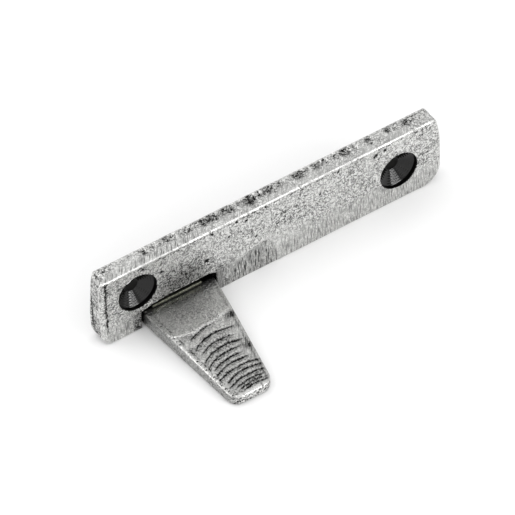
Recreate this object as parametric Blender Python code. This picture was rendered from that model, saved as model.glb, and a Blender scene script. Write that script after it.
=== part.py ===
"""A forged steel hook plate: the fixed half of a latch, which the latch's arm closes against.

A flat bar is screwed to the frame through two holes, each sunk from the front with a twist drill. A
ramped, tapered tongue stands out of its front face near one end. The tongue's tenon passes into a slot
cut up from the bar's lower edge, where a weld bead holds it from the front and a plug weld, dressed
flush, holds it from the back.

Axes: +X along the bar, away from the tongue's end; -Y out of the front face, along the tongue; +Z up,
from the edge that the tongue is flush with to the other long edge.
Origin: the centre of the bar's back face, which lies against the frame.
"""

import math

import bmesh
import bpy

MM = 0.001

# The bar
BAR_LENGTH = 75.0 * MM
BAR_HEIGHT = 16.0 * MM
BAR_THICKNESS = 4.2 * MM
BAR_EDGE_BEVEL = 0.35 * MM
# How far each corner of the bar's face is filed round: tongue end first, then the far end
LOWER_NEAR_CORNER = 2.2 * MM
LOWER_FAR_CORNER = 3.8 * MM
UPPER_FAR_CORNER = 0.7 * MM
UPPER_NEAR_CORNER = 0.9 * MM

# The holes, placed by eye, so one sits higher than the other. A twist drill of twice the sink's radius,
# with its usual point, sinks the screw's head below the face
NEAR_HOLE = (-29.5 * MM, 1.7 * MM)
FAR_HOLE = (28.4 * MM, -0.5 * MM)
SCREW_HOLE_RADIUS = 1.5 * MM
SINK_RADIUS = 4.1 * MM
SINK_WALL_DEPTH = 0.7 * MM
DRILL_POINT_ANGLE = math.radians(118)

# The tongue
TONGUE_REACH = 26.7 * MM
TONGUE_THICKNESS = 3.3 * MM
TONGUE_TIP_THICKNESS = 2.3 * MM
TONGUE_ROOT = (-28.5 * MM, -12.8 * MM)
TONGUE_TIP = (-26.4 * MM, -17.8 * MM)
TONGUE_TIP_CORNER = 1.7 * MM
TONGUE_EDGE_BEVEL = 0.3 * MM
RAMP_START = 8.4 * MM

# The joint between them
SLOT_NEAR_GAP = 0.6 * MM
SLOT_FAR_GAP = 0.3 * MM
SLOT_NEAR_HEIGHT = 4.9 * MM
SLOT_FAR_HEIGHT = 5.5 * MM
SLOT_CORNER = 1.0 * MM
TENON_END_DEPTH = 1.3 * MM
TENON_DROP = 0.2 * MM
TENON_SHOULDER = 0.3 * MM
WELD_GAP = 0.3 * MM
PLUG_FLUSH_DEPTH = 0.1 * MM
BEAD_SPAN = (-26.6 * MM, -15.6 * MM)
BEAD_HEIGHT = 1.0 * MM
BEAD_RECESS = 0.1 * MM
BEAD_DEPTH = 2.0 * MM
BEAD_ROUNDING = 0.3 * MM

CUTTER_OVERRUN = 2.0 * MM
ROUND_STEPS = 48
ARC_STEPS = 8
BEVEL_SEGMENTS = 2
SHARP_ANGLE = math.radians(35)

FLOOR = -BAR_HEIGHT / 2
FRONT = -BAR_THICKNESS


def clear_scene():
    for obj in list(bpy.data.objects):
        bpy.data.objects.remove(obj, do_unlink=True)


def metal(name, colour, roughness):
    material = bpy.data.materials.new(name)
    material.use_nodes = True
    shader = material.node_tree.nodes["Principled BSDF"]
    shader.inputs["Base Color"].default_value = (*colour, 1.0)
    shader.inputs["Metallic"].default_value = 1.0
    shader.inputs["Roughness"].default_value = roughness
    return material


def add_object(name, mesh_builder, material=None):
    mesh = bpy.data.meshes.new(name)
    mesh_builder.to_mesh(mesh)
    mesh_builder.free()
    obj = bpy.data.objects.new(name, mesh)
    bpy.context.scene.collection.objects.link(obj)
    if material:
        mesh.materials.append(material)
    return obj


def add_cutter(name, mesh_builder):
    """A solid that is only subtracted, so it doesn't show."""
    cutter = add_object(name, mesh_builder)
    cutter.hide_render = True
    cutter.display_type = "WIRE"
    return cutter


def rounded_outline(corners):
    """The points of a polygon, anticlockwise as (across, up, corner radius), its corners turned to arcs."""
    points = []
    for index, (across, up, radius) in enumerate(corners):
        before = corners[index - 1]
        after = corners[(index + 1) % len(corners)]
        inward = math.atan2(before[1] - up, before[0] - across)
        outward = math.atan2(after[1] - up, after[0] - across)
        if not radius:
            points.append((across, up))
            continue
        half = ((inward - outward) % math.tau) / 2
        middle = outward + half
        centre_distance = radius / math.sin(half)
        centre_across = across + centre_distance * math.cos(middle)
        centre_up = up + centre_distance * math.sin(middle)
        start = inward + math.pi / 2
        sweep = math.pi - 2 * half
        for step in range(ARC_STEPS + 1):
            angle = start + sweep * step / ARC_STEPS
            points.append((centre_across + radius * math.cos(angle), centre_up + radius * math.sin(angle)))
    return points


def slab(outline, y_front, y_back):
    """A flat plate: an outline in X and Z, carried from its front face to its back face."""
    shape = bmesh.new()
    front_face = shape.faces.new([shape.verts.new((x, y_front, z)) for x, z in outline])
    carried = bmesh.ops.extrude_face_region(shape, geom=[front_face])["geom"]
    moved = [part for part in carried if isinstance(part, bmesh.types.BMVert)]
    bmesh.ops.translate(shape, verts=moved, vec=(0, y_back - y_front, 0))
    bmesh.ops.recalc_face_normals(shape, faces=shape.faces)
    return shape


def screw_hole_cutter(name, centre):
    """A screw's hole and its sink, with a straight wall and a drill point's seat, turned about one axis."""
    x, z = centre
    seat_depth = (SINK_RADIUS - SCREW_HOLE_RADIUS) / math.tan(DRILL_POINT_ANGLE / 2)
    profile = [
        (0, FRONT - CUTTER_OVERRUN),
        (SINK_RADIUS, FRONT - CUTTER_OVERRUN),
        (SINK_RADIUS, FRONT + SINK_WALL_DEPTH),
        (SCREW_HOLE_RADIUS, FRONT + SINK_WALL_DEPTH + seat_depth),
        (SCREW_HOLE_RADIUS, CUTTER_OVERRUN),
        (0, CUTTER_OVERRUN),
    ]
    shape = bmesh.new()
    corners = [shape.verts.new((x + radius, y, z)) for radius, y in profile]
    edges = [shape.edges.new(pair) for pair in zip(corners, corners[1:])]
    bmesh.ops.spin(
        shape, geom=corners + edges, cent=(x, 0, z), axis=(0, 1, 0), angle=math.tau, steps=ROUND_STEPS,
    )
    bmesh.ops.remove_doubles(shape, verts=shape.verts, dist=1e-6)
    bmesh.ops.recalc_face_normals(shape, faces=shape.faces)
    return add_cutter(name, shape)


def slot_outline(bottom, inset):
    """The slot's outline, filed round at its top corners and a little out of level, drawn in by the inset."""
    near = TONGUE_ROOT[0] - SLOT_NEAR_GAP + inset
    far = TONGUE_ROOT[1] + SLOT_FAR_GAP - inset
    corner = SLOT_CORNER - inset
    return rounded_outline([
        (near, bottom, 0),
        (far, bottom, 0),
        (far, FLOOR + SLOT_FAR_HEIGHT - inset, corner),
        (near, FLOOR + SLOT_NEAR_HEIGHT - inset, corner),
    ])


def slot_cutter():
    """The slot for the tongue's root, open at the bar's lower edge."""
    outline = slot_outline(bottom=FLOOR - CUTTER_OVERRUN, inset=0)
    return add_cutter("slot_cutter", slab(outline, FRONT - CUTTER_OVERRUN, CUTTER_OVERRUN))


def bevel(obj, width):
    modifier = obj.modifiers.new("eased_edges", "BEVEL")
    modifier.width = width
    modifier.segments = BEVEL_SEGMENTS
    modifier.limit_method = "ANGLE"
    modifier.angle_limit = SHARP_ANGLE


def cut(obj, cutter):
    modifier = obj.modifiers.new(cutter.name, "BOOLEAN")
    modifier.operation = "DIFFERENCE"
    modifier.solver = "EXACT"
    modifier.object = cutter


def finish(obj):
    """Settle the modifiers into the mesh and shade its rounds smooth, with its sharp edges kept."""
    evaluated = obj.evaluated_get(bpy.context.evaluated_depsgraph_get())
    settled = bpy.data.meshes.new_from_object(evaluated)
    obj.modifiers.clear()
    obj.data = settled
    settled.shade_smooth()
    settled.set_sharp_from_angle(angle=SHARP_ANGLE)


def back_plate(steel):
    half_length = BAR_LENGTH / 2
    half_height = BAR_HEIGHT / 2
    outline = rounded_outline([
        (-half_length, -half_height, LOWER_NEAR_CORNER),
        (half_length, -half_height, LOWER_FAR_CORNER),
        (half_length, half_height, UPPER_FAR_CORNER),
        (-half_length, half_height, UPPER_NEAR_CORNER),
    ])
    plate = add_object("back_plate", slab(outline, FRONT, 0), steel)
    bevel(plate, BAR_EDGE_BEVEL)
    cut(plate, slot_cutter())
    cut(plate, screw_hole_cutter("near_screw_hole_cutter", NEAR_HOLE))
    cut(plate, screw_hole_cutter("far_screw_hole_cutter", FAR_HOLE))
    return plate


def tongue_top(y):
    """The height of the tongue's upper face: level over the root, then falling along the ramp to the tip."""
    past_ramp_start = max(0, FRONT - RAMP_START - y)
    fall = (TONGUE_THICKNESS - TONGUE_TIP_THICKNESS) / (TONGUE_REACH - RAMP_START)
    return FLOOR + TONGUE_THICKNESS - fall * past_ramp_start


def side_at(root_x, tip_x, y):
    """Where a tapering side of the tongue is at that reach."""
    return root_x + (tip_x - root_x) * (FRONT - y) / TONGUE_REACH


def tenon_top_cutter():
    """What is filed off the top of the tenon, from just in front of the bar, so that it enters the slot."""
    near, far = TONGUE_ROOT
    low = FLOOR + TONGUE_THICKNESS - TENON_DROP
    high = low + CUTTER_OVERRUN
    outline = [
        (near - CUTTER_OVERRUN, low),
        (far + CUTTER_OVERRUN, low),
        (far + CUTTER_OVERRUN, high),
        (near - CUTTER_OVERRUN, high),
    ]
    return add_cutter("tenon_top_cutter", slab(outline, FRONT - TENON_SHOULDER, CUTTER_OVERRUN))


def wedge_tongue(steel):
    """The tongue with its tenon, drawn in plan, given a flat underside and a ramped upper face."""
    near_root, far_root = TONGUE_ROOT
    near_tip, far_tip = TONGUE_TIP
    tip_y = FRONT - TONGUE_REACH
    ramp_y = FRONT - RAMP_START
    plan = rounded_outline([
        (near_root, -TENON_END_DEPTH, 0),
        (near_root, FRONT, 0),
        (side_at(near_root, near_tip, ramp_y), ramp_y, 0),
        (near_tip, tip_y, TONGUE_TIP_CORNER),
        (far_tip, tip_y, TONGUE_TIP_CORNER),
        (side_at(far_root, far_tip, ramp_y), ramp_y, 0),
        (far_root, FRONT, 0),
        (far_root, -TENON_END_DEPTH, 0),
    ])
    shape = bmesh.new()
    lower = [shape.verts.new((x, y, FLOOR)) for x, y in plan]
    upper = [shape.verts.new((x, y, tongue_top(y))) for x, y in plan]
    shape.faces.new(reversed(lower))
    top = shape.faces.new(upper)
    for index in range(len(plan)):
        following = (index + 1) % len(plan)
        shape.faces.new((lower[index], lower[following], upper[following], upper[index]))
    ramp_edge = [vert for vert in upper if abs(vert.co.y - ramp_y) < 1e-7]
    bmesh.utils.face_split(top, *ramp_edge)
    bmesh.ops.recalc_face_normals(shape, faces=shape.faces)
    tongue = add_object("wedge_tongue", shape, steel)
    bevel(tongue, TONGUE_EDGE_BEVEL)
    cut(tongue, tenon_top_cutter())
    return tongue


def front_weld(weld_metal):
    """The bead in the slot above the tongue, short of the slot's ends and just below the front face."""
    near, far = BEAD_SPAN
    low = FLOOR + TONGUE_THICKNESS + WELD_GAP
    high = low + BEAD_HEIGHT
    outline = rounded_outline([
        (near, low, BEAD_ROUNDING),
        (far, low, BEAD_ROUNDING),
        (far, high, BEAD_ROUNDING),
        (near, high, BEAD_ROUNDING),
    ])
    bead_front = FRONT + BEAD_RECESS
    bead = add_object("front_weld", slab(outline, bead_front, bead_front + BEAD_DEPTH), weld_metal)
    bevel(bead, BEAD_ROUNDING)
    return bead


def rear_weld(weld_metal):
    """The plug weld that fills the slot behind the tenon, dressed flush with the bar's back face."""
    outline = slot_outline(bottom=FLOOR + WELD_GAP, inset=WELD_GAP)
    return add_object("rear_weld", slab(outline, WELD_GAP - TENON_END_DEPTH, -PLUG_FLUSH_DEPTH), weld_metal)


def main():
    clear_scene()
    steel = metal("pewter_patina_steel", (0.46, 0.46, 0.45), 0.45)
    weld_metal = metal("weld_metal", (0.22, 0.22, 0.19), 0.5)
    for piece in (back_plate(steel), wedge_tongue(steel), front_weld(weld_metal), rear_weld(weld_metal)):
        finish(piece)


main()
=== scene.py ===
# %% [markdown]
# # A forged hook plate with a pewter patina
#
# This lesson models a small piece of hand-made door furniture: the fixed plate that a latch closes on. It is
# a flat steel bar with two sunk screw holes, and a ramped tongue that is welded into a slot in the bar.
# The smith blackens the whole piece, then rubs it back on an abrasive belt. The high places come up bright
# and every hollow that the belt can't reach stays dark. That one process explains nearly all that the eye
# sees here, so the lesson follows it: first real hollows in the meshes, then one finish that reads them.
#
# Its four solids are plain, and each of them is replaced by a worked piece that fills the same space.

# %% Load the plain solids
import math

import bmesh
import bpy
import numpy as np
from mathutils import Matrix, Vector, noise


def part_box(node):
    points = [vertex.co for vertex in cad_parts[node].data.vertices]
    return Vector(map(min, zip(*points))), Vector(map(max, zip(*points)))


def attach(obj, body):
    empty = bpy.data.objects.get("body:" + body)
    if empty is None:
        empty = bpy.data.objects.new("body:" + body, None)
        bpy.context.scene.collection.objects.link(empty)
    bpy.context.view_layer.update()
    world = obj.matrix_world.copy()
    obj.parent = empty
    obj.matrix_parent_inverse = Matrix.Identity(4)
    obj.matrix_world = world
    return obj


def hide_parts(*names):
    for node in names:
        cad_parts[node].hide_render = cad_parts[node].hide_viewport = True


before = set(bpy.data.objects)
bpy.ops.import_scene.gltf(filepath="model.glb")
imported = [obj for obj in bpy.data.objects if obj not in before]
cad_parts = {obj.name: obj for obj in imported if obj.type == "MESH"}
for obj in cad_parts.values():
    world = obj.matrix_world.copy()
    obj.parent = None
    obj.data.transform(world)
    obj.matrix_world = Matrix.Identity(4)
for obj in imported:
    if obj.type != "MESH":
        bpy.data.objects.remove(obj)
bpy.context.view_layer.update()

MM = 0.001

bar_low, bar_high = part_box("back_plate")
tongue_low, tongue_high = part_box("wedge_tongue")
bead_low, bead_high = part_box("front_weld")
plug_low, plug_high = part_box("rear_weld")
print("bar, mm:", [round(size / MM, 1) for size in bar_high - bar_low])

# %% [markdown]
# ## The view, the stage and the light
#
# A long lens from a metre away keeps the bar's far end nearly as large as its near end. The camera is
# placed by its direction, not by hand: a point that it looks at, how far round and how far up it stands,
# and a small roll.

# %% The camera
VIEW_CENTRE = Vector((-1.0, 0, -9.7)) * MM
VIEW_AROUND = math.radians(-31.25)
VIEW_ABOVE = math.radians(45.86)
VIEW_ROLL = math.radians(-3.11)
VIEW_DISTANCE = 1.0
LENS_MM = 373.8

towards_camera = Vector((
    math.sin(VIEW_AROUND) * math.cos(VIEW_ABOVE),
    -math.cos(VIEW_AROUND) * math.cos(VIEW_ABOVE),
    math.sin(VIEW_ABOVE),
))
bpy.ops.object.camera_add(location=VIEW_CENTRE + VIEW_DISTANCE * towards_camera)
camera = bpy.context.object
facing = towards_camera.to_track_quat("Z", "Y").to_matrix()
camera.rotation_euler = (facing @ Matrix.Rotation(VIEW_ROLL, 3, "Z")).to_euler()
camera.data.lens = LENS_MM
camera.data.clip_start = 0.01
bpy.context.scene.camera = camera
print("camera at, m:", [round(value, 3) for value in camera.location])

# %% [markdown]
# The floor is one large pale sheet just under the part. Everything bright that the steel mirrors comes
# from it and from the lamps, so it matters as much as the lamps do: the bar's face leans over the floor
# and shows the floor's white, while the tongue shows the room above and behind.
#
# Each lamp has one task. The top and front softboxes light the floor. The low window gives the screw holes
# their glint, the edge strip draws a line along the bar's front upper edge, and the rim softbox does the
# same for the tongue's left edge. The room is bright overhead and dim at the horizon, which keeps the holes
# dark.

# %% Colour helper and floor
def linear(hex_colour):
    """An sRGB colour such as "c8c8c4", turned to the linear numbers that shaders use."""
    channels = [int(hex_colour[index:index + 2], 16) / 255 for index in (0, 2, 4)]
    return [c / 12.92 if c <= 0.04045 else ((c + 0.055) / 1.055) ** 2.4 for c in channels] + [1.0]


def add_node(material, kind, settings=None, **inputs):
    """Add one shader node. Inputs may be values, or outputs of other nodes, which are linked."""
    node = material.node_tree.nodes.new(kind)
    for name, value in (settings or {}).items():
        setattr(node, name, value)
    for name, value in inputs.items():
        key = int(name[1:]) if name[0] == "i" and name[1:].isdigit() else name.replace("_", " ")
        if isinstance(value, bpy.types.NodeSocket):
            material.node_tree.links.new(value, node.inputs[key])
        else:
            node.inputs[key].default_value = value
    return node


def new_material(name):
    """An empty node material and its Principled shader."""
    material = bpy.data.materials.new(name)
    material.use_nodes = True
    return material, material.node_tree.nodes["Principled BSDF"]


FLOOR_GAP = 0.02 * MM
FLOOR_SIZE = 3
PAPER_WHITE = "f4f4f4"
bpy.ops.mesh.primitive_plane_add(size=FLOOR_SIZE, location=(0, 0, bar_low.z - FLOOR_GAP))
floor = bpy.context.object
floor.name = "studio_floor"
floor_finish, floor_shader = new_material("white_paper")
floor_shader.inputs["Base Color"].default_value = linear(PAPER_WHITE)
floor_shader.inputs["Roughness"].default_value = 0.9
floor_shader.inputs["Specular IOR Level"].default_value = 0.1
floor.data.materials.append(floor_finish)
print("floor at, mm:", round(floor.location.z / MM, 2))

# %% Lamps and the room's light
def add_softbox(name, direction, distance, width, height, watts):
    """A rectangular area lamp that looks at the part from that direction."""
    place = Vector(direction).normalized() * distance
    bpy.ops.object.light_add(type="AREA", location=place)
    lamp = bpy.context.object
    lamp.name = name
    lamp.rotation_euler = place.to_track_quat("Z", "Y").to_euler()
    lamp.data.shape = "RECTANGLE"
    lamp.data.size = width
    lamp.data.size_y = height
    lamp.data.energy = watts
    return lamp


add_softbox("top_softbox", (-0.25, 0.35, 1.0), 0.9, 0.9, 0.9, 1.9)
add_softbox("front_softbox", (-0.5, -0.9, 0.35), 1.0, 1.0, 0.6, 1.7)
add_softbox("low_window", (0.44, -0.88, 0.17), 0.8, 0.42, 0.12, 2.8)
add_softbox("edge_strip", (0.36, -0.72, 0.6), 1.0, 0.5, 0.25, 0.6)
add_softbox("rim_softbox", (-0.72, 0.6, 0.36), 1.0, 0.5, 0.5, 0.9)

ROOM_WHITE = "f3f3f3"
ROOM_BRIGHT = 1.1
ROOM_DIM = 0.25
HORIZON_ENDS = 0.02
CEILING_BEGINS = 0.4
room = bpy.data.worlds.new("studio_room")
room.use_nodes = True
looking = add_node(room, "ShaderNodeTexCoord").outputs["Generated"]
height = add_node(room, "ShaderNodeSeparateXYZ", Vector=looking).outputs["Z"]
glow = add_node(
    room, "ShaderNodeMapRange", Value=height, From_Min=HORIZON_ENDS, From_Max=CEILING_BEGINS,
    To_Min=ROOM_DIM, To_Max=ROOM_BRIGHT,
).outputs["Result"]
backdrop = room.node_tree.nodes["Background"]
backdrop.inputs["Color"].default_value = linear(ROOM_WHITE)
room.node_tree.links.new(glow, backdrop.inputs["Strength"])
bpy.context.scene.world = room
bpy.context.scene.view_settings.view_transform = "Standard"

# %% [markdown]
# ## Tools for the bench
#
# A few small helpers do what the mouse would do: select one object, make a block, select edges or faces by
# their place, bevel the chosen edges, and settle a modifier into the mesh.

# %% Bench helpers
def pick(obj):
    """Select that object and nothing else."""
    bpy.ops.object.select_all(action="DESELECT")
    obj.select_set(True)
    bpy.context.view_layer.objects.active = obj
    return obj


def block(name, low, high):
    """A cube stretched from one corner to the other, its place and size settled into its mesh."""
    bpy.ops.object.select_all(action="DESELECT")
    bpy.ops.mesh.primitive_cube_add(size=1, location=(Vector(low) + Vector(high)) / 2)
    obj = bpy.context.object
    obj.name = name
    obj.scale = Vector(high) - Vector(low)
    bpy.ops.object.transform_apply(location=True, rotation=True, scale=True)
    return obj


def choose(obj, kind, test):
    """In edit mode, select the edges, faces or verts that pass the test, and return how many did."""
    bpy.ops.mesh.select_mode(type={"verts": "VERT", "edges": "EDGE", "faces": "FACE"}[kind])
    bpy.ops.mesh.select_all(action="DESELECT")
    shape = bmesh.from_edit_mesh(obj.data)
    chosen = [part for part in getattr(shape, kind) if test(part)]
    for part in chosen:
        part.select_set(True)
    shape.select_flush_mode()
    bmesh.update_edit_mesh(obj.data)
    return len(chosen)


def round_edges(obj, test, radius, segments=4):
    """Bevel the edges that pass the test."""
    pick(obj)
    bpy.ops.object.mode_set(mode="EDIT")
    count = choose(obj, "edges", test)
    bpy.ops.mesh.bevel(offset=radius, segments=segments, affect="EDGES")
    bpy.ops.object.mode_set(mode="OBJECT")
    return count


def apply_modifier(obj, kind, **settings):
    """Add a modifier, set it up and settle it into the mesh."""
    pick(obj)
    modifier = obj.modifiers.new(kind.lower(), kind)
    for name, value in settings.items():
        setattr(modifier, name, value)
    bpy.ops.object.modifier_apply(modifier=modifier.name)


def runs_along(edge, axis):
    """True if the edge is parallel to that axis."""
    step = edge.verts[1].co - edge.verts[0].co
    return abs(step[axis]) > 0.99 * step.length


# %% [markdown]
# ## The bar
#
# The real bar is a length of hot-rolled flat whose corners were filed round by eye. So it starts as a
# block, and each of its four corners gets its own radius: the far lower one is the roundest. Then one
# smaller bevel takes the sharpness off both long outlines, as the belt does.

# %% Cut the bar to length and round its corners
CORNERS = {
    (-1, -1): 2.3 * MM,
    (1, -1): 3.8 * MM,
    (1, 1): 0.7 * MM,
    (-1, 1): 0.9 * MM,
}
OUTLINE_BEVEL = 0.1 * MM

bar = block("forged_bar", bar_low, bar_high)
for (side, level), radius in CORNERS.items():
    round_edges(
        bar,
        lambda edge: runs_along(edge, 1)
        and edge.verts[0].co.x * side > bar_high.x * 0.999
        and edge.verts[0].co.z * level > bar_high.z * 0.999,
        radius,
        segments=8,
    )
outline_edges = round_edges(
    bar,
    lambda edge: abs(edge.verts[0].co.y - edge.verts[1].co.y) < 1e-6,
    OUTLINE_BEVEL,
    segments=3,
)
print("outline edges bevelled:", outline_edges)

# %% [markdown]
# The slot is cut up from the lower edge before the surface is worked, because the smith cut it first too.
# A cutter is a solid in the shape of what is taken away, and a Boolean modifier subtracts it. The slot was
# filed by hand, so its roof is a low arch: each pair is a share of the slot's width and a height above the
# bar's lower edge in millimetres.

# %% Cut the slot for the tongue
SLOT_NEAR_GAP = 0.6 * MM
SLOT_FAR_GAP = 0.3 * MM
SLOT_ROOF = [(0, 4.3), (0.06, 4.5), (0.15, 4.85), (0.3, 5.2), (0.45, 5.4), (0.75, 5.4), (0.92, 5.2), (1, 4.8)]
OVERRUN = 3.0 * MM

slot_near, slot_far = tongue_low.x - SLOT_NEAR_GAP, tongue_high.x + SLOT_FAR_GAP
cutter = block(
    "slot_cutter",
    (slot_near, bar_low.y - OVERRUN, bar_low.z - OVERRUN),
    (slot_far, bar_high.y + OVERRUN, bar_low.z + MM),
)
bpy.ops.object.mode_set(mode="EDIT")
roof = [(slot_near + share * (slot_far - slot_near), height * MM) for share, height in SLOT_ROOF]
for x, height in roof[1:-1]:
    bpy.ops.mesh.select_all(action="SELECT")
    bpy.ops.mesh.bisect(plane_co=(x, 0, 0), plane_no=(1, 0, 0))
for x, height in roof:
    choose(cutter, "verts", lambda vert: abs(vert.co.x - x) < 1e-6 and vert.co.z > bar_low.z)
    bpy.ops.transform.translate(value=(0, 0, height - MM))
bpy.ops.object.mode_set(mode="OBJECT")
apply_modifier(bar, "BOOLEAN", object=cutter, operation="DIFFERENCE")
bpy.data.objects.remove(cutter)
print("faces after the slot:", len(bar.data.polygons))

# %% [markdown]
# Hammer marks, pits and wear need many small faces. A voxel remesh gives the block an even skin of them,
# about as fine as the marks to come, and it softens each corner a little on the way.

# %% An even skin
def reskin(obj, voxel):
    """Rebuild the surface as even small faces of about that size."""
    apply_modifier(obj, "REMESH", mode="VOXEL", voxel_size=voxel, use_smooth_shade=True)
    return len(obj.data.polygons)


BAR_SKIN = 0.2 * MM
print("bar faces:", reskin(bar, BAR_SKIN))

# %% [markdown]
# What the hammer, the fire and the file leave behind is described by short formulas over the surface. A
# mark is a depth at each point, and the point sinks by that depth along the surface's own normal. Each
# mark also says how dark it stays, from 0 to 1, for patina out of the belt's reach and for painted shade,
# and that is kept on the mesh as the attribute `patina_and_shade`, for the finish to read later.

# %% Marks in the surface
def places(obj):
    """The mesh's points, one row each, in millimetres."""
    points = np.empty(len(obj.data.vertices) * 3)
    obj.data.vertices.foreach_get("co", points)
    return points.reshape(-1, 3) / MM


def directions(obj):
    """The surface's normal at each point."""
    normals = np.empty(len(obj.data.vertices) * 3, np.float32)
    obj.data.vertices.foreach_get("normal", normals)
    return normals.reshape(-1, 3).astype(float)


def put_places(obj, points):
    """Move the mesh's points to those places, in millimetres."""
    obj.data.vertices.foreach_set("co", (points * MM).ravel())
    obj.data.update()


def read_layer(obj, name):
    """A number kept at each point, or zeros if it isn't there yet."""
    values = np.zeros(len(obj.data.vertices), np.float32)
    if name in obj.data.attributes:
        obj.data.attributes[name].data.foreach_get("value", values)
    return values


def write_layer(obj, name, values):
    """Keep a number at each point of the mesh, for the finish to read."""
    layer = obj.data.attributes.get(name) or obj.data.attributes.new(name, "FLOAT", "POINT")
    layer.data.foreach_set("value", values.astype(np.float32))


def sink(obj, depth_mm, patina_and_shade=None):
    """Sink each point along its normal, and darken it by the given share of patina and painted shade."""
    put_places(obj, places(obj) - directions(obj) * depth_mm[:, None])
    if patina_and_shade is not None:
        write_layer(obj, "patina_and_shade", np.maximum(read_layer(obj, "patina_and_shade"), patina_and_shade))


def smooth_step(low, high, values):
    """0 below low, 1 above high, and a smooth rise between them."""
    share = np.clip((values - low) / (high - low), 0, 1)
    return share * share * (3 - 2 * share)


def grain(points, size_mm, seed):
    """Soft random hills between -1 and 1. The sizes are along X, Y and Z, in millimetres."""
    stretched = points / np.array(size_mm) + seed
    return np.array([noise.noise(Vector(row)) for row in stretched])


# %% [markdown]
# The sawn ends are slightly crowned from the forge, and the far upper corner is pushed in a little. Then a
# file takes flats off the near end's upright edges: everything that stands past a plane is brought back.

# %% Crown the ends and file the flats
def file_flat(obj, through, facing_out):
    """Bring all that stands past a plane back to the plane. Both are in millimetres."""
    points = places(obj)
    out = np.array(facing_out) / np.linalg.norm(facing_out)
    past = (points - np.array(through)) @ out
    put_places(obj, points - np.clip(past, 0, None)[:, None] * out)
    return int((past > 0).sum())


FAR_CROWN = 0.4
NEAR_CROWN = 0.2
CROWN_REACH = 1.5
CORNER_DROP = 0.3
CORNER_START = 34

front_y, rear_y = bar_low.y / MM, bar_high.y / MM
end_x, top_z = bar_high.x / MM, bar_high.z / MM

points = places(bar)
crowned = 1 - (points[:, 2] / top_z) ** 2
points[:, 0] += FAR_CROWN * crowned * smooth_step(end_x - CROWN_REACH, end_x, points[:, 0])
points[:, 0] -= NEAR_CROWN * crowned * smooth_step(end_x - CROWN_REACH, end_x, -points[:, 0])
upper_corner = smooth_step(0.5 * top_z, top_z, points[:, 2]) * smooth_step(CORNER_START, end_x, points[:, 0])
points[:, 0] -= CORNER_DROP * upper_corner
put_places(bar, points)
filed = file_flat(bar, (-end_x, front_y + 0.4, 0), (-0.45, -0.95, 0))
filed += file_flat(bar, (-end_x + 0.3, rear_y, 0), (-0.8, 0.8, 0.1))
print("points filed off the near end:", filed)

# %% [markdown]
# The bar's upper edge kept the black scale of the rolling mill in a row of pits, because the belt only
# took its front half clean. Each pit is an oval whose border is crumbled by noise: place, half length, half
# width and strength. Crumbs are left standing inside them, so a pit is mottled and not one black hole.

# %% Scale pits along the top
TOP_PITS = [
    (-36.3, -2.0, 0.6, 1.2, 0.6), (-34.3, -1.3, 0.9, 0.5, 0.3), (-31.0, -1.0, 1.1, 0.5, 0.3),
    (-26.0, -1.3, 0.6, 0.9, 0.9), (-23.8, -1.0, 0.6, 0.5, 0.45), (-20.3, -1.0, 1.1, 0.9, 0.8),
    (-17.0, -1.2, 1.3, 0.6, 0.45), (-14.9, -1.3, 0.4, 0.5, 0.4), (-13.0, -1.3, 0.8, 1.0, 0.8),
    (-11.0, -1.2, 1.5, 1.1, 0.9), (-7.8, -1.1, 1.5, 1.0, 0.8), (-5.0, -1.2, 0.6, 0.8, 0.7),
    (-2.9, -1.4, 1.4, 1.2, 1.0), (-0.7, -1.3, 0.4, 0.9, 0.7), (1.4, -1.2, 1.3, 1.2, 0.85),
    (3.8, -1.4, 0.8, 0.7, 0.5), (8.2, -1.1, 1.3, 1.1, 0.95), (10.2, -0.9, 0.4, 0.6, 0.5),
    (12.3, -1.1, 1.2, 1.0, 0.75), (14.0, -1.2, 0.4, 0.8, 0.6), (16.2, -1.0, 0.7, 0.7, 0.5),
    (18.5, -1.1, 1.1, 1.2, 1.0), (20.6, -1.3, 0.4, 1.0, 0.8), (23.8, -1.2, 0.6, 1.0, 0.95),
    (28.1, -1.3, 0.5, 0.8, 0.9), (29.4, -1.4, 0.3, 0.5, 0.7), (32.1, -1.2, 0.9, 1.0, 0.8),
    (34.3, -0.5, 0.7, 0.4, 0.6),
]
PIT_DEPTH = 0.22

points = places(bar)
normals = directions(bar)
on_top = smooth_step(0.5, 0.9, normals[:, 2])
on_front = smooth_step(0.6, 0.95, -normals[:, 1])
crumble = grain(points, (0.6, 0.5, 0.5), 11) + 0.5 * grain(points, (0.3, 0.3, 0.3), 12)
crumbs = smooth_step(-0.35, 0.2, grain(points, (0.34, 0.3, 0.3), 13))
pits = np.zeros(len(points))
for x, y, half_length, half_width, strength in TOP_PITS:
    away = np.hypot((points[:, 0] - x) / half_length, (points[:, 1] - y) / half_width)
    pits = np.maximum(pits, strength * smooth_step(1.45, 0.5, away + 0.5 * crumble))
pits *= on_top
sink(bar, PIT_DEPTH * pits * (0.6 + 0.6 * crumbs), pits * (0.23 + 0.42 * crumbs))
print("points in the scale pits:", int((pits > 0.3).sum()))

# %% [markdown]
# The wide faces roll gently from the hammer. A few deeper pits sit on them, each with a rim that the belt
# rubs bright, and small nicks break the line of the front upper edge.

# %% Hammer marks, lone pits and nicks
LONE_PITS = [
    (-14.5, 1.0, 0.42), (-24.2, 3.9, 0.34), (-3.5, 1.0, 0.26), (-5.5, 6.2, 0.26), (-7.6, 7.1, 0.3),
    (-1.2, 7.3, 0.24), (-13.0, 7.0, 0.24), (-28.2, 6.9, 0.3), (5.3, 7.3, 0.2), (15.0, 7.0, 0.28),
    (23.4, 6.2, 0.42), (25.5, 6.5, 0.34), (33.9, 5.9, 0.2), (-9.4, 4.4, 0.18), (10.8, 3.6, 0.18),
]
LONE_PIT_DEPTH = 0.16
NICK_DEPTH = 0.07

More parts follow.
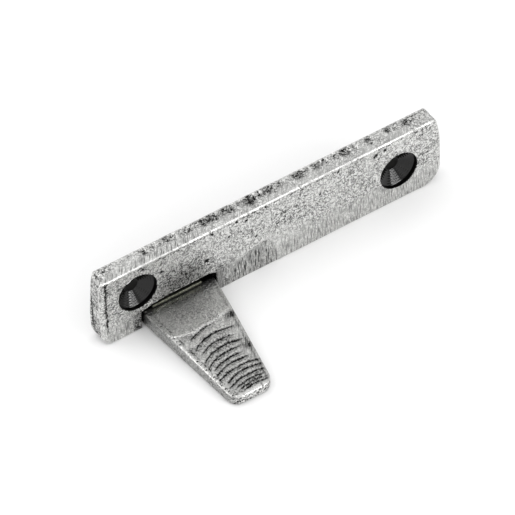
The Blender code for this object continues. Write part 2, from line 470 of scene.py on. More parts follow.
rolling = grain(points, (9, 9, 5), 21) * 0.07 + grain(points, (2.6, 3, 1.8), 22) * 0.025
rolling = rolling * on_front + 0.03 * on_top * grain(points, (2, 2, 2), 23)
sink(bar, rolling)

dents = np.zeros(len(points))
for x, z, radius in LONE_PITS:
    away = np.hypot(points[:, 0] - x, points[:, 2] - z) / radius
    dents = np.maximum(dents, on_front * (np.exp(-away ** 2) - 0.25 * np.exp(-((away - 1.9) / 0.45) ** 2)))
sink(bar, LONE_PIT_DEPTH * dents, np.clip(1.5 * dents, 0, 0.95))

on_edge = np.exp(-(((points[:, 1] - front_y) ** 2 + (points[:, 2] - top_z) ** 2) / 0.5 ** 2))
nicks = on_edge * smooth_step(0.35, 0.6, grain(points, (0.45, 3, 3), 24))
sink(bar, NICK_DEPTH * nicks, 0.35 * nicks)
print("points in nicks:", int((nicks > 0.3).sum()))

# %% [markdown]
# On the near end the file left a narrow flat whose inner border is a wavy dark line, and another line runs
# down the end itself. A row of dark dots follows the front upper edge, just below it. Low on the face,
# right of the tongue, the smith pressed the work on the wheel's edge and ground a shallow arch into it. The
# arch is drawn as a chain of points, and the distance from that chain places the ring of burr round it.

# %% File lines and the ground arch
NEAR_LINE_X = -36.35
END_LINE_Y = -1.15
ARCH = [(-9.6, -9.0), (-9.4, -4.2), (-8.0, -3.0), (-5.0, -1.8), (-2.6, -1.2), (-1.3, -1.25), (-0.3, -2.2),
        (0.4, -4.0), (0.8, -6.0), (0.9, -9.0)]
ARCH_DEPTH = 0.06
RIM_HEIGHT = 0.07


def from_outline(across, up, outline):
    """The distance from a chain of straight lines, for each point."""
    nearest = np.full(len(across), np.inf)
    for (x0, z0), (x1, z1) in zip(outline, outline[1:]):
        share = (across - x0) * (x1 - x0) + (up - z0) * (z1 - z0)
        share = np.clip(share / ((x1 - x0) ** 2 + (z1 - z0) ** 2), 0, 1)
        away = np.hypot(across - x0 - share * (x1 - x0), up - z0 - share * (z1 - z0))
        nearest = np.minimum(nearest, away)
    return nearest


points = places(bar)
waver = 0.22 * grain(points, (5, 5, 1.6), 41) + 0.1 * grain(points, (2, 2, 0.6), 42)
near_line = on_front * np.exp(-((points[:, 0] - NEAR_LINE_X - waver) / 0.2) ** 2)
near_line *= smooth_step(-5.5, -3.5, points[:, 2]) * (0.9 + 0.4 * grain(points, (9, 9, 0.9), 43))
on_near_end = smooth_step(0.5, 0.9, -normals[:, 0])
end_line = on_near_end * np.exp(-((points[:, 1] - END_LINE_Y - 0.4 * waver) / 0.2) ** 2)
end_line *= smooth_step(-6.5, -5.0, points[:, 2]) * smooth_step(4.0, 2.4, points[:, 2])
under_edge = on_front * np.exp(-((points[:, 2] - top_z + 0.65) / 0.13) ** 2)
under_edge *= smooth_step(-0.1, 0.35, grain(points, (0.9, 9, 9), 44))
lines = np.clip(np.maximum(near_line, end_line), 0, 1)
sink(bar, 0.12 * lines + 0.04 * under_edge, np.maximum(0.95 * lines, 0.5 * under_edge))

arch_x, arch_z = np.array(ARCH).T
roof = np.interp(points[:, 0], arch_x, arch_z, left=-99, right=-99)
from_arch = from_outline(points[:, 0], points[:, 2], ARCH) * np.where(points[:, 2] < roof, -1, 1)
in_arch = on_front * smooth_step(0.1, -0.25, from_arch)
ring = np.exp(-((from_arch - 0.4) / 0.24) ** 2) + 0.6 * np.exp(-((from_arch - 1.15) / 0.16) ** 2)
ring += 0.8 * np.exp(-((from_arch + 0.55) / 0.1) ** 2) * (points[:, 0] > -1.5)
ring = np.clip(ring * on_front * smooth_step(-7.5, -4.0, points[:, 0]), 0, 1)
sink(bar, ARCH_DEPTH * in_arch - RIM_HEIGHT * ring, 0.17 * in_arch * (1 - ring))
print("points in the arch:", int((in_arch > 0.5).sum()))

# %% [markdown]
# The belt also leaves its own tracks, finer than the mesh. They are kept as two more numbers on the mesh:
# how plainly upright strokes show, low on the face, and slanting strokes, on whatever looks up. Round the
# tongue the face is painted darker: above it a broad painted reflection of the dark tongue, and patches
# beside the slot. The near end face gets a little painted shade too.
#
# Last, a rule that works for every piece. What stands out is rubbed, and what lies in a hollow isn't, so
# the bend of the surface says where the finish is bright.

# %% Strokes, wear and painted shade on the bar
def bend(obj):
    """How sharply the surface turns outward at each point, per millimetre. Hollows are negative."""
    ends = np.empty(len(obj.data.edges) * 2, np.int32)
    obj.data.edges.foreach_get("vertices", ends)
    start, end = ends.reshape(-1, 2).T
    points, normals = places(obj), directions(obj)
    step = points[end] - points[start]
    turn = ((normals[end] - normals[start]) * step).sum(axis=1) / (step ** 2).sum(axis=1)
    count = np.bincount(start, minlength=len(points)) + np.bincount(end, minlength=len(points))

    def shared(values):
        total = np.bincount(start, values, len(points)) + np.bincount(end, values, len(points))
        return total / count

    around = shared(turn)
    return (2 * around + shared((around[start] + around[end]) / 2)) / 3


def wear(obj, full_bend):
    """Rub what stands out and leave what lies in a hollow."""
    outward = bend(obj)
    fray = 0.8 + 0.5 * grain(places(obj), (0.8, 0.8, 0.8), 51)
    write_layer(obj, "rubbed", smooth_step(0.25, 1, outward * fray / full_bend))
    hollow = 0.7 * smooth_step(0.3, 1.4, -outward * fray / full_bend)
    write_layer(obj, "patina_and_shade", np.maximum(read_layer(obj, "patina_and_shade"), hollow))


EDGE_BEND = 1.5
wear(bar, EDGE_BEND)

# A broad painted reflection of the dark tongue on the face above it, with darker patches beside the slot.
TONGUE_REFLECTION_MIDDLE = -20.3
TONGUE_REFLECTION_HALF_WIDTH = 5.6

tongue_reflection = np.exp(-((points[:, 0] - TONGUE_REFLECTION_MIDDLE) / TONGUE_REFLECTION_HALF_WIDTH) ** 4)
tongue_reflection = tongue_reflection * smooth_step(5.5, -1.5, points[:, 2])
beside_slot = (points[:, 0] > tongue_high.x / MM) * smooth_step(-11.2, -11.5, points[:, 0])
beside_slot = beside_slot * smooth_step(-2.8, -3.2, points[:, 2])
left_of_slot = smooth_step(-32.0, -28.8, points[:, 0]) * (points[:, 0] < -28.4)
left_of_slot = left_of_slot * smooth_step(-2.0, -4.5, points[:, 2])
right_of_slot = (points[:, 0] > tongue_high.x / MM) * smooth_step(-8.0, -12.0, points[:, 0])
right_of_slot = right_of_slot * smooth_step(-0.5, -2.5, points[:, 2])
darkening_round_tongue = on_front * np.maximum.reduce([
    0.54 * tongue_reflection, 0.5 * beside_slot, 0.42 * left_of_slot, 0.33 * right_of_slot,
])
on_back = smooth_step(0.6, 0.95, normals[:, 1])
on_far_end = smooth_step(0.5, 0.9, normals[:, 0])
lower_edge = smooth_step(0.25, 0.8, -normals[:, 2])
in_slot = (points[:, 1] > front_y + 0.35) & (points[:, 1] < rear_y - 0.35) & (points[:, 2] < -2.0)
in_slot &= (points[:, 0] > tongue_low.x / MM - 0.9) & (points[:, 0] < tongue_high.x / MM + 0.9)
patina_and_shade_share = np.maximum(read_layer(bar, "patina_and_shade"), in_slot)
slot_middle, slot_half = (tongue_low.x + tongue_high.x) / 2 / MM, (tongue_high.x - tongue_low.x) / 2 / MM
beyond_slot = np.abs(points[:, 0] - slot_middle) - slot_half
open_to_belt = np.maximum(smooth_step(0.9, 1.8, beyond_slot), smooth_step(-2.4, -1.4, points[:, 2]))
rubbed = read_layer(bar, "rubbed") * (0.1 + 0.9 * open_to_belt)
smoothed = on_front * np.maximum(0.8 * beside_slot, 0.45 * tongue_reflection)
dressed = np.maximum.reduce([on_back, on_far_end, lower_edge])
rubbed = np.maximum.reduce([rubbed, 0.8 * ring, smoothed, 0.5 * dressed])
write_layer(bar, "rubbed", rubbed)
# The near end face is painted a little darker as painted shade; the back and the lower edge are darker too.
patina_and_shade_share = patina_and_shade_share + darkening_round_tongue + np.maximum.reduce([0.3 * on_back, 0.3 * lower_edge, 0.12 * on_near_end])
write_layer(bar, "patina_and_shade", np.clip(patina_and_shade_share, 0, 1))

low_face = smooth_step(-1.5, -3.5, points[:, 2]) * smooth_step(-16, -12, points[:, 0])
near_corner = smooth_step(-29, -32, points[:, 0]) * smooth_step(-2.5, -5, points[:, 2])
upright = on_front * np.maximum.reduce([0.25 + 0.65 * low_face, 0.9 * near_corner, in_arch])
upright *= 1 - ring
write_layer(bar, "upright_strokes", upright)
front_half = smooth_step(-1.8, -2.8, points[:, 1])
slanting = on_top * (0.35 + 0.3 * front_half + 0.35 * front_half * smooth_step(-12, -18, points[:, 0]))
write_layer(bar, "slanting_strokes", slanting)
print("rubbed points on the bar:", int((read_layer(bar, "rubbed") > 0.5).sum()))

# %% [markdown]
# Each screw hole was sunk with a twist drill. That leaves a short straight wall, a blunt cone and fine
# rings where the lips of the drill chattered. The cutter is a profile spun round the hole's axis, with
# the rings in the profile itself, so that they are real ridges in the hole. The belt never reaches inside:
# the wall and the bore stay flat black, and the cone keeps a glossy lacquer, which gives the hole its glint.

# %% Turn a cutter for the screw holes and sink them
HOLE_PLACES = [(-29.5 * MM, 1.7 * MM), (28.4 * MM, -0.5 * MM)]
BORE_RADIUS = 1.5 * MM
SINK_RADIUS = 4.1 * MM
SINK_WALL = 0.95 * MM
DRILL_POINT = math.radians(118)
MOUTH_ROUNDING = 0.12 * MM
RING_PITCH = 0.42 * MM
RING_DEPTH = 0.013 * MM


def sink_profile():
    """The cutter's half section, from its axis in front of the bar to its axis behind it."""
    profile = [
        (0, bar_low.y - OVERRUN),
        (SINK_RADIUS + MOUTH_ROUNDING, bar_low.y - OVERRUN),
        (SINK_RADIUS + MOUTH_ROUNDING, bar_low.y),
        (SINK_RADIUS, bar_low.y + MOUTH_ROUNDING),
        (SINK_RADIUS, bar_low.y + SINK_WALL),
    ]
    seat_length = SINK_RADIUS - BORE_RADIUS
    rings = int(seat_length / RING_PITCH * 6)
    for step in range(1, rings):
        inwards = seat_length * step / rings
        ripple = RING_DEPTH * math.cos(math.tau * inwards / RING_PITCH)
        profile.append((
            SINK_RADIUS - inwards,
            bar_low.y + SINK_WALL + inwards / math.tan(DRILL_POINT / 2) + ripple,
        ))
    seat_depth = seat_length / math.tan(DRILL_POINT / 2)
    profile.append((BORE_RADIUS, bar_low.y + SINK_WALL + seat_depth))
    profile.append((BORE_RADIUS, bar_high.y + OVERRUN))
    profile.append((0, bar_high.y + OVERRUN))
    return profile


def turned_cutter(x, z):
    """Spin the profile about the hole's axis and close it."""
    bpy.ops.object.select_all(action="DESELECT")
    bpy.ops.mesh.primitive_plane_add(size=MM)
    obj = bpy.context.object
    bpy.ops.object.mode_set(mode="EDIT")
    bpy.ops.mesh.delete(type="VERT")
    shape = bmesh.from_edit_mesh(obj.data)
    line = [shape.verts.new((x + radius, y, z)) for radius, y in sink_profile()]
    for pair in zip(line, line[1:]):
        shape.edges.new(pair)
    bmesh.update_edit_mesh(obj.data)
    bpy.ops.mesh.select_all(action="SELECT")
    bpy.ops.mesh.spin(steps=96, angle=math.tau, center=(x, 0, z), axis=(0, 1, 0))
    bpy.ops.mesh.select_all(action="SELECT")
    bpy.ops.mesh.remove_doubles(threshold=1e-6)
    bpy.ops.mesh.normals_make_consistent(inside=False)
    bpy.ops.object.mode_set(mode="OBJECT")
    obj.data.transform(obj.matrix_world)
    obj.matrix_world = Matrix.Identity(4)
    return obj


for x, z in HOLE_PLACES:
    cutter = turned_cutter(x, z)
    apply_modifier(bar, "BOOLEAN", object=cutter, operation="DIFFERENCE")
    bpy.data.objects.remove(cutter)
print("bar faces with its holes:", len(bar.data.polygons))


def hole_depth_and_radius(x, y, z):
    """How deep a place lies below the bar's face, and how far it is from the nearest hole's axis."""
    return y - bar_low.y, min(math.hypot(x - hole_x, z - hole_z) for hole_x, hole_z in HOLE_PLACES)


SEAT_END = SINK_WALL + (SINK_RADIUS - BORE_RADIUS) / math.tan(DRILL_POINT / 2)
in_hole = np.zeros(len(bar.data.vertices))
for index, (x, y, z) in enumerate(places(bar) * MM):
    depth, radius = hole_depth_and_radius(x, y, z)
    reach = SINK_RADIUS if depth < SEAT_END + 2 * RING_DEPTH else BORE_RADIUS
    in_hole[index] = radius < reach + 0.01 * MM and depth > MOUTH_ROUNDING * 0.9
write_layer(bar, "patina_and_shade", np.maximum(read_layer(bar, "patina_and_shade"), in_hole))
write_layer(bar, "rubbed", read_layer(bar, "rubbed") * (1 - in_hole))
print("points in the holes:", int(in_hole.sum()))


def on_a_seat(centre):
    """True on the cone of a sink, between its wall and its bore."""
    depth, radius = hole_depth_and_radius(*centre)
    on_cone = SINK_WALL - 0.02 * MM < depth < SEAT_END + 2 * RING_DEPTH
    return on_cone and BORE_RADIUS + 0.02 * MM < radius < SINK_RADIUS - 0.02 * MM

# %% [markdown]
# ## The tongue
#
# The tongue starts as a block too. Its free end is drawn in to a taper, and a cut across it makes the
# crest, where the level seat ends and the ramp begins.

# %% Shape the tongue
TIP_SIDES = (-26.4 * MM, -17.8 * MM)
TIP_THICKNESS = 2.3 * MM
TIP_CORNER = 2.0 * MM
RAMP_START = 8.4 * MM
UPPER_EDGE_ROUNDING = 0.35 * MM
LOWER_EDGE_ROUNDING = 0.6 * MM
SHARP_ANGLE = 0.6

tongue = block("ramped_tongue", tongue_low, tongue_high)
bpy.ops.object.mode_set(mode="EDIT")
for y in (bar_low.y, bar_low.y - RAMP_START):
    bpy.ops.mesh.select_all(action="SELECT")
    bpy.ops.mesh.bisect(plane_co=(0, y, 0), plane_no=(0, 1, 0))
tip_share = 1 / (bar_low.y - tongue_low.y)
for root_x, tip_x in zip((tongue_low.x, tongue_high.x), TIP_SIDES):
    for y in (bar_low.y - RAMP_START, tongue_low.y):
        choose(tongue, "verts", lambda vert: abs(vert.co.y - y) < 1e-6 and abs(vert.co.x - root_x) < 1e-6)
        bpy.ops.transform.translate(value=((tip_x - root_x) * (bar_low.y - y) * tip_share, 0, 0))
choose(tongue, "verts", lambda vert: vert.co.y < tongue_low.y + 1e-6 and vert.co.z > tongue_low.z + MM)
bpy.ops.transform.translate(value=(0, 0, tongue_low.z + TIP_THICKNESS - tongue_high.z))
bpy.ops.object.mode_set(mode="OBJECT")
round_edges(
    tongue,
    lambda edge: runs_along(edge, 2) and edge.verts[0].co.y < tongue_low.y + 1e-6,
    TIP_CORNER,
    segments=8,
)


def long_outline(edge, upper):
    """True for the edges round the upper or the lower face."""
    level = max(vert.co.z for vert in edge.verts) > tongue_low.z + MM
    return level == upper and edge.calc_face_angle(0) > SHARP_ANGLE and not runs_along(edge, 2)


for upper, radius in ((True, UPPER_EDGE_ROUNDING), (False, LOWER_EDGE_ROUNDING)):
    print("edges rounded:", round_edges(tongue, lambda edge: long_outline(edge, upper), radius, segments=3))
TONGUE_SKIN = 0.12 * MM
print("tongue faces:", reskin(tongue, TONGUE_SKIN))

# %% [markdown]
# The ramp was ground by rocking the tongue on the wheel, a little further out with each pass. Each pass
# ends in an arc, and the arcs crowd together towards the tip. An arc has an apex, a radius on either side
# of the middle line, and two ends. Across the arc there's a narrow dark valley with a bright swell behind,
# and a soft painted shadow, slightly sunk, on the valley's other side.
# The crest stands up slightly between the seat and the ramp, and the ramp's left edge was filed flat.

# %% Grind the ramp
RIPPLES = [
    (-13.3, 6.5, 14, -25.2, -19.6), (-15.4, 6.5, 15, -25.7, -16.6), (-17.3, 7.0, 15, -25.4, -18.0),
    (-18.9, 7.5, 16, -26.2, -17.2), (-20.4, 8.0, 12, -26.2, -18.2), (-21.9, 9.0, 20, -25.4, -18.7),
    (-23.1, 9.5, 11, -26.0, -18.2), (-24.5, 11.0, 12, -26.0, -16.9), (-25.8, 8.0, 13, -25.4, -17.3),
    (-27.1, 9.0, 13, -25.3, -17.2), (-28.2, 10.0, 15, -24.9, -18.3), (-28.9, 9.0, 13, -24.2, -18.3),
    (-29.6, 9.0, 11, -23.4, -18.6),
]
ARC_MIDDLE = -20.9
RIPPLE_DEPTH = 0.11
SWELL_HEIGHT = 0.045
CREST_BEND = [
    (-28, -11.8), (-26.5, -12.3), (-24.5, -12.8), (-22, -13.0), (-19.5, -12.8), (-17, -12.2), (-14, -11.8),
]
EDGE_FLAT = 0.3

points = places(tongue)
normals = directions(tongue)
up = smooth_step(0.6, 0.95, normals[:, 2])
wander = grain(points, (2.2, 1.6, 2), 31) * 0.18 + grain(points, (0.8, 0.6, 1), 32) * 0.045
valleys_and_shadows = np.zeros(len(points))
swells = np.zeros(len(points))
for apex, left_radius, right_radius, left_end, right_end in RIPPLES:
    across = points[:, 0] - ARC_MIDDLE
    radius = np.where(across < 0, left_radius, right_radius)
    off = points[:, 1] - (apex - across ** 2 / (2 * radius) + wander)
    ends = smooth_step(left_end - 0.5, left_end + 0.9, points[:, 0])
    ends *= smooth_step(right_end + 1.0, right_end - 1.2, points[:, 0])
    width = 0.22 + 0.07 * grain(points, (1.3, 9, 9), 33)
    strength = ends * (0.95 + 0.3 * grain(points, (1.6, 0.5, 9), 34))
    valleys_and_shadows = np.maximum(valleys_and_shadows, strength * np.exp(-(off / width) ** 2))
    # A soft painted shadow beside the valley, away from the swell; it also sinks the surface a little.
    valleys_and_shadows = np.maximum(valleys_and_shadows, 0.3 * strength * np.exp(-((off + 0.35) / 0.35) ** 2))
    swells = np.maximum(swells, ends * np.exp(-((off - 0.55) / 0.32) ** 2))
crest_x, crest_y = np.array(CREST_BEND).T
from_crest = points[:, 1] - np.interp(points[:, 0], crest_x, crest_y) - 0.25 * wander
crest = up * np.exp(-(from_crest / 0.55) ** 2)
sink(tongue, up * (RIPPLE_DEPTH * valleys_and_shadows - SWELL_HEIGHT * swells) - 0.035 * crest, 0.74 * up * valleys_and_shadows)

tip_y, ramp_y = tongue_low.y / MM, front_y - RAMP_START / MM
ramp_share = (front_y - ramp_y) / (front_y - tip_y)
ramp_x = (tongue_low.x + (TIP_SIDES[0] - tongue_low.x) * ramp_share) / MM
edge_start = Vector((ramp_x, ramp_y, tongue_high.z / MM))
edge_end = Vector((TIP_SIDES[0] / MM, tip_y, (tongue_low.z + TIP_THICKNESS) / MM))
along_edge = (edge_end - edge_start).normalized()
facing_out = Vector((-1, 0, 1)).normalized()
facing_out = (facing_out - facing_out.dot(along_edge) * along_edge).normalized()
print("points filed off the left edge:", file_flat(tongue, edge_start - EDGE_FLAT * facing_out, facing_out))
print("points in the ripples:", int((valleys_and_shadows > 0.3).sum()))

# %% [markdown]
# The belt couldn't get at a few dark patches on the ramp, or at the band just inside the right edge. The
# seat is painted darker away from the bar. The left edge carries a row of small pits. Everything that goes
# into the slot was never rubbed at all. The right side is painted darker, as painted shade, and the crest
# is painted lighter, partly for its wear and partly as a painted highlight.

# %% Darker places, painted shade and strokes on the tongue
DARK_PATCHES = [
    (-15.5, -13.3, 1.1, 0.8, 0.5), (-17.0, -21.4, 0.9, 0.9, 0.4), (-26.2, -17.0, 0.8, 1.3, 0.3),
    (-17.6, -20.6, 0.7, 0.6, 0.3), (-25.5, -13.6, 1.6, 0.8, 0.2),
]

points = places(tongue)
root_share = np.clip((front_y - points[:, 1]) / (front_y - tip_y), 0, 1)
left_side = tongue_low.x / MM + (TIP_SIDES[0] - tongue_low.x) / MM * root_share
right_side = tongue_high.x / MM + (TIP_SIDES[1] - tongue_high.x) / MM * root_share
on_ramp = up * smooth_step(0.2, -0.8, from_crest)
on_seat = up * smooth_step(0.2, 0.7, from_crest)

patches = np.zeros(len(points))
for x, y, half_length, half_width, strength in DARK_PATCHES:
    away = np.hypot((points[:, 0] - x) / half_length, (points[:, 1] - y) / half_width)
    patches = np.maximum(patches, strength * np.exp(-away ** 2))
inside_right = np.exp(-((right_side - points[:, 0] - 0.75) / 0.3) ** 2)
edge_pits = np.exp(-((points[:, 0] - left_side - 0.5) / 0.2) ** 2)
edge_pits *= smooth_step(0.15, 0.4, grain(points, (3, 0.42, 3), 36)) * smooth_step(0.5, 0.8, normals[:, 2])
tip_nicks = smooth_step(tip_y + 0.9, tip_y + 0.3, points[:, 1])
tip_nicks *= smooth_step(0.28, 0.5, grain(points, (0.35, 9, 1.1), 39))
edge_pits = np.maximum(edge_pits, 0.5 * tip_nicks)
sink(tongue, 0.1 * edge_pits)
inside_left = np.exp(-((points[:, 0] - left_side - 1.0) / 0.16) ** 2)
inside_left *= smooth_step(-0.2, 0.25, grain(points, (3, 0.7, 3), 38))
in_bar = smooth_step(front_y, front_y + 1.1, points[:, 1])

wear(tongue, EDGE_BEND)
patina_and_shade_share = read_layer(tongue, "patina_and_shade")
# The seat is painted darker away from the bar.
far_on_seat = on_seat * smooth_step(front_y, front_y - 5, points[:, 1])
darker_places = up * (patches + 0.25 * inside_right + 0.3 * inside_left) + 0.2 * far_on_seat + 0.2 * on_ramp
patina_and_shade_share = np.maximum.reduce([patina_and_shade_share + darker_places, 0.85 * edge_pits, in_bar])
on_underside = smooth_step(0.2, 0.8, -normals[:, 2])
on_left = smooth_step(0.6, 0.95, -normals[:, 0])
on_right = smooth_step(0.4, 0.9, normals[:, 0])
# The right side's share is painted shade, a dark band along the tongue's right contour.
patina_and_shade_share = patina_and_shade_share + np.maximum.reduce([0.35 * on_underside, 0.36 * on_left, 0.45 * on_right]) - 0.28 * crest
worn_edge = smooth_step(0.9, 0.98, normals @ np.array(facing_out))
worn_edge *= smooth_step(ramp_y + 1, ramp_y - 3, points[:, 1])
worn_tip = smooth_step(tip_y + 1.1, tip_y + 0.5, points[:, 1]) * (1 - tip_nicks)
worn_tip *= smooth_step(0.1, 0.5, normals[:, 2])
patina_and_shade_share = patina_and_shade_share * (1 - np.maximum(worn_edge * (1 - edge_pits), 0.8 * worn_tip))
write_layer(tongue, "patina_and_shade", np.clip(patina_and_shade_share, 0, 1))
rubbed = np.maximum(read_layer(tongue, "rubbed"), 0.35 * up * swells * (1 - valleys_and_shadows))
# The crest is lightened here and by the minus term above: partly its wear, partly a painted highlight.
crest_wear_and_highlight = 0.6 * crest * (0.8 + 0.5 * grain(points, (0.7, 0.5, 1), 37))
rubbed = np.maximum.reduce([
    rubbed, 0.5 * on_seat, 0.45 * on_ramp, 0.75 * on_left, crest_wear_and_highlight, worn_edge, 0.85 * worn_tip,
    0.5 * on_underside, 0.6 * on_right,
])
write_layer(tongue, "rubbed", np.clip(rubbed * (1 - edge_pits), 0, 1))
to_right = smooth_step(-19.5, -16.5, points[:, 0])
write_layer(tongue, "slanting_strokes", 0.45 * on_seat + on_ramp * (0.3 + 0.6 * to_right))
print("rubbed points on the tongue:", int((rubbed > 0.5).sum()))

# %% [markdown]
# ## The welds
#
# The bead was laid from the front in short pulses, so it is a row of overlapping ripples. The plug at the
# back was welded proud and then ground level with the bar.

# %% The bead and the plug
PULSE_PITCH = 0.75
BEAD_SAG = 0.06 * MM
BEAD_SLIMMING = 0.28 * MM
BEAD_ROUNDING = 0.3 * MM
BEAD_SKIN = 0.06 * MM
PLUG_ROUNDING = 0.12 * MM
PLUG_SKIN = 0.1 * MM

sagging, slimming = Vector((0, 0, BEAD_SAG)), Vector((0, 0, BEAD_SLIMMING))
bead = block("weld_bead", bead_low - sagging, bead_high - slimming)
round_edges(bead, lambda edge: True, BEAD_ROUNDING, segments=3)
reskin(bead, BEAD_SKIN)
points = places(bead)
bowed = points[:, 0] + 0.5 * (points[:, 2] - (bead_low.z + bead_high.z) / 2 / MM) ** 2
pulse = (bowed / PULSE_PITCH + 0.2 * grain(points, (1.5, 9, 9), 61)) % 1.0
lumpy = 0.05 * grain(points, (1.1, 1.1, 1.1), 62)
sink(bead, 0.05 * (1 - pulse) ** 3 + 0.02 + lumpy, 0.3 * smooth_step(0.4, 0.0, pulse))

plug = block("plug_weld", plug_low, plug_high)
round_edges(plug, lambda edge: True, PLUG_ROUNDING, segments=2)
reskin(plug, PLUG_SKIN)
points = places(plug)
ground_lines = 0.012 * grain(points, (3.0, 9, 0.25), 63) + 0.02 * grain(points, (2.5, 9, 1.5), 64)
sink(plug, 0.02 + ground_lines * smooth_step(0.6, 0.95, directions(plug)[:, 1]))
ground_face = smooth_step(0.6, 0.95, directions(plug)[:, 1])
write_layer(plug, "rubbed", 0.9 * ground_face)
print("bead and plug faces:", len(bead.data.polygons), len(plug.data.polygons))

# %% [markdown]
# ## The finish
#
# One material covers the bar and the tongue, and a second one the cones of the screw holes. The steel is
# bright and slightly grey. On it lies a black patina, which the belt has rubbed away to different degrees:
# fully along the edges, mostly on the faces, and not at all in hollows. So one number, from bright to
# black, is gathered from every kind of mark and from the painted shade, and the colour, the roughness and
# a fine relief follow it.

# %% Pewter patina on steel
STEEL_BRIGHT = "e4e4e2"
STEEL_RUBBED = "dcdcda"
PATINA_BLACK = "1d1d1c"
PORE = 0.42 * MM
WORM = 0.68 * MM
CLOUD = 4.0 * MM
STROKE_WIDTH = 0.24 * MM
STROKE_LENGTH = 2.2 * MM
STROKE_LEAN = math.radians(56)
RELIEF = 0.05 * MM
WELD_OLIVE = "5e5f55"
WELD_GROUND = "b0b0aa"
WELD_SOOT = "23241e"
SOOT_SIZE = 0.6 * MM
SOOT_RELIEF = 0.02 * MM
LACQUER_BLACK = "0b0b0a"
CREASE_ANGLE = math.radians(40)


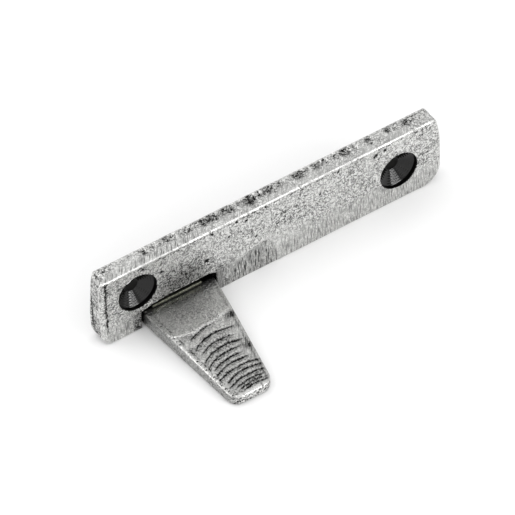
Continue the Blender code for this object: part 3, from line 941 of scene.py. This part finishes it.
def pewter_patina():
    """Blackened steel rubbed back on a belt: bright, satin high places and black, duller pores."""
    material, shader = new_material("burnished_black_patina_steel")
    coordinates = add_node(material, "ShaderNodeTexCoord").outputs["Object"]
    layer = {
        name: add_node(material, "ShaderNodeAttribute", {"attribute_name": name}).outputs["Fac"]
        for name in ("patina_and_shade", "rubbed", "upright_strokes", "slanting_strokes")
    }

    # Pores: round black dots left where the scale was deepest.
    pores = add_node(
        material, "ShaderNodeTexNoise", Vector=coordinates, Scale=1 / PORE, Detail=2, Roughness=0.55,
    ).outputs["Fac"]
    # Worms: short bent threads between them, made by folding a noise about its middle.
    worms = add_node(
        material, "ShaderNodeTexNoise", Vector=coordinates, Scale=1 / WORM, Detail=1.5, Distortion=0.7,
    ).outputs["Fac"]
    fold = add_node(material, "ShaderNodeMath", {"operation": "SUBTRACT"}, i0=worms, i1=0.5)
    fold = add_node(material, "ShaderNodeMath", {"operation": "ABSOLUTE"}, i0=fold.outputs["Value"])
    # Clouds: broad areas that the belt pressed on more or less.
    clouds = add_node(
        material, "ShaderNodeTexNoise", Vector=coordinates, Scale=1 / CLOUD, Detail=3, Roughness=0.6,
    ).outputs["Fac"]

    dots = add_node(
        material, "ShaderNodeMapRange", Value=pores, From_Min=0.34, From_Max=0.46, To_Min=0.92, To_Max=0.0,
    ).outputs["Result"]
    threads = add_node(
        material, "ShaderNodeMapRange", Value=fold.outputs["Value"], From_Min=0.0, From_Max=0.1,
        To_Min=1.1, To_Max=0.0,
    ).outputs["Result"]
    cloud_share = add_node(
        material, "ShaderNodeMapRange", Value=clouds, From_Min=0.3, From_Max=0.7, To_Min=0.6, To_Max=1.2,
    ).outputs["Result"]
    black = add_node(material, "ShaderNodeMath", {"operation": "MAXIMUM"}, i0=dots, i1=threads)
    black = add_node(
        material, "ShaderNodeMath", {"operation": "MULTIPLY"}, i0=black.outputs["Value"], i1=cloud_share,
    ).outputs["Value"]
    combed = add_node(
        material, "ShaderNodeMath", {"operation": "ADD"},
        i0=layer["upright_strokes"], i1=layer["slanting_strokes"],
    ).outputs["Value"]
    combed = add_node(
        material, "ShaderNodeMath", {"operation": "MULTIPLY_ADD", "use_clamp": True},
        i0=combed, i1=-0.5, i2=1.0,
    ).outputs["Value"]
    black = add_node(
        material, "ShaderNodeMath", {"operation": "MULTIPLY"}, i0=black, i1=combed,
    ).outputs["Value"]

    # Strokes: the belt's tracks, long one way and a quarter of a millimetre wide the other way.
    for name, turn, size in (
        ("upright_strokes", (0, 0, 0), (STROKE_WIDTH, STROKE_LENGTH, STROKE_LENGTH)),
        ("slanting_strokes", (0, 0, STROKE_LEAN), (STROKE_LENGTH, STROKE_WIDTH, STROKE_LENGTH)),
    ):
        along = add_node(
            material, "ShaderNodeMapping", {"vector_type": "TEXTURE"},
            Vector=coordinates, Rotation=turn, Scale=size,
        ).outputs["Vector"]
        tracks = add_node(
            material, "ShaderNodeTexNoise", Vector=along, Scale=1, Detail=2, Roughness=0.6,
        ).outputs["Fac"]
        tracks = add_node(
            material, "ShaderNodeMapRange", Value=tracks, From_Min=0.38, From_Max=0.58,
            To_Min=0.78, To_Max=0.0,
        ).outputs["Result"]
        tracks = add_node(
            material, "ShaderNodeMath", {"operation": "MULTIPLY"}, i0=tracks, i1=layer[name],
        ).outputs["Value"]
        black = add_node(
            material, "ShaderNodeMath", {"operation": "MAXIMUM"}, i0=black, i1=tracks,
        ).outputs["Value"]

    spared = add_node(
        material, "ShaderNodeMapRange", Value=layer["rubbed"], From_Min=0.0, From_Max=1.0,
        To_Min=1.0, To_Max=0.25,
    ).outputs["Result"]
    black = add_node(
        material, "ShaderNodeMath", {"operation": "MULTIPLY_ADD", "use_clamp": True},
        i0=black, i1=spared, i2=layer["patina_and_shade"],
    ).outputs["Value"]

    steel = add_node(
        material, "ShaderNodeMix", {"data_type": "RGBA"}, Factor=layer["rubbed"],
        i6=linear(STEEL_BRIGHT), i7=linear(STEEL_RUBBED),
    ).outputs[2]
    colour = add_node(
        material, "ShaderNodeMix", {"data_type": "RGBA"}, Factor=black, i6=steel, i7=linear(PATINA_BLACK),
    ).outputs[2]
    roughness = add_node(
        material, "ShaderNodeMapRange", Value=black, From_Min=0.0, From_Max=1.0, To_Min=0.3, To_Max=0.5,
    ).outputs["Result"]
    roughness = add_node(
        material, "ShaderNodeMath", {"operation": "MULTIPLY_ADD"}, i0=layer["rubbed"], i1=-0.1, i2=roughness,
    ).outputs["Value"]
    relief = add_node(
        material, "ShaderNodeBump", {"invert": True}, Height=black, Distance=RELIEF,
    ).outputs["Normal"]
    material.node_tree.links.new(colour, shader.inputs["Base Color"])
    material.node_tree.links.new(roughness, shader.inputs["Roughness"])
    material.node_tree.links.new(relief, shader.inputs["Normal"])
    shader.inputs["Metallic"].default_value = 1.0
    return material


def black_lacquer():
    """What the belt never touched: the blackening under its clear lacquer, smooth and nearly black."""
    material, shader = new_material("lacquered_black_patina")
    shader.inputs["Base Color"].default_value = linear(LACQUER_BLACK)
    shader.inputs["Roughness"].default_value = 0.12
    shader.inputs["Specular IOR Level"].default_value = 0.33
    return material


def weld_metal():
    """Weld steel, blackened and wire brushed: an olive grey with darker troughs between its ripples."""
    material, shader = new_material("wire_brushed_weld_steel")
    coordinates = add_node(material, "ShaderNodeTexCoord").outputs["Object"]
    patina_and_shade = add_node(material, "ShaderNodeAttribute", {"attribute_name": "patina_and_shade"}).outputs["Fac"]
    soot = add_node(
        material, "ShaderNodeTexNoise", Vector=coordinates, Scale=1 / SOOT_SIZE, Detail=3, Roughness=0.6,
    ).outputs["Fac"]
    soot = add_node(
        material, "ShaderNodeMapRange", Value=soot, From_Min=0.35, From_Max=0.65, To_Min=0.0, To_Max=0.5,
    ).outputs["Result"]
    black = add_node(
        material, "ShaderNodeMath", {"operation": "ADD", "use_clamp": True}, i0=soot, i1=patina_and_shade,
    ).outputs["Value"]
    rubbed = add_node(material, "ShaderNodeAttribute", {"attribute_name": "rubbed"}).outputs["Fac"]
    bare = add_node(
        material, "ShaderNodeMix", {"data_type": "RGBA"}, Factor=rubbed,
        i6=linear(WELD_OLIVE), i7=linear(WELD_GROUND),
    ).outputs[2]
    colour = add_node(
        material, "ShaderNodeMix", {"data_type": "RGBA"}, Factor=black,
        i6=bare, i7=linear(WELD_SOOT),
    ).outputs[2]
    relief = add_node(
        material, "ShaderNodeBump", {"invert": True}, Height=soot, Distance=SOOT_RELIEF,
    ).outputs["Normal"]
    material.node_tree.links.new(colour, shader.inputs["Base Color"])
    material.node_tree.links.new(relief, shader.inputs["Normal"])
    shader.inputs["Metallic"].default_value = 1.0
    shader.inputs["Roughness"].default_value = 0.45
    return material


patina, lacquer, weld = pewter_patina(), black_lacquer(), weld_metal()
for piece, finish in ((bar, patina), (tongue, patina), (bead, weld), (plug, weld)):
    piece.data.materials.clear()
    piece.data.materials.append(finish)
bar.data.materials.append(lacquer)
for face in bar.data.polygons:
    face.material_index = int(on_a_seat(face.center))
pick(bar)
bpy.ops.object.shade_smooth_by_angle(angle=CREASE_ANGLE)
print("lacquered faces:", sum(face.material_index for face in bar.data.polygons))

# %% [markdown]
# ## Hand the pieces over
#
# Each worked piece rides on the part's one body and takes the place of one plain solid.

# %% What each piece rides on and stands for
HANDED_OVER = [
    (bar, "back_plate", "pewter_patina_steel"),
    (tongue, "wedge_tongue", "pewter_patina_steel"),
    (bead, "front_weld", "weld_metal"),
    (plug, "rear_weld", "weld_metal"),
]
for piece, node, slot in HANDED_OVER:
    piece.data.calc_loop_triangles()
    print(piece.name, "triangles:", len(piece.data.loop_triangles))
    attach(piece, "root")
    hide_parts(node)
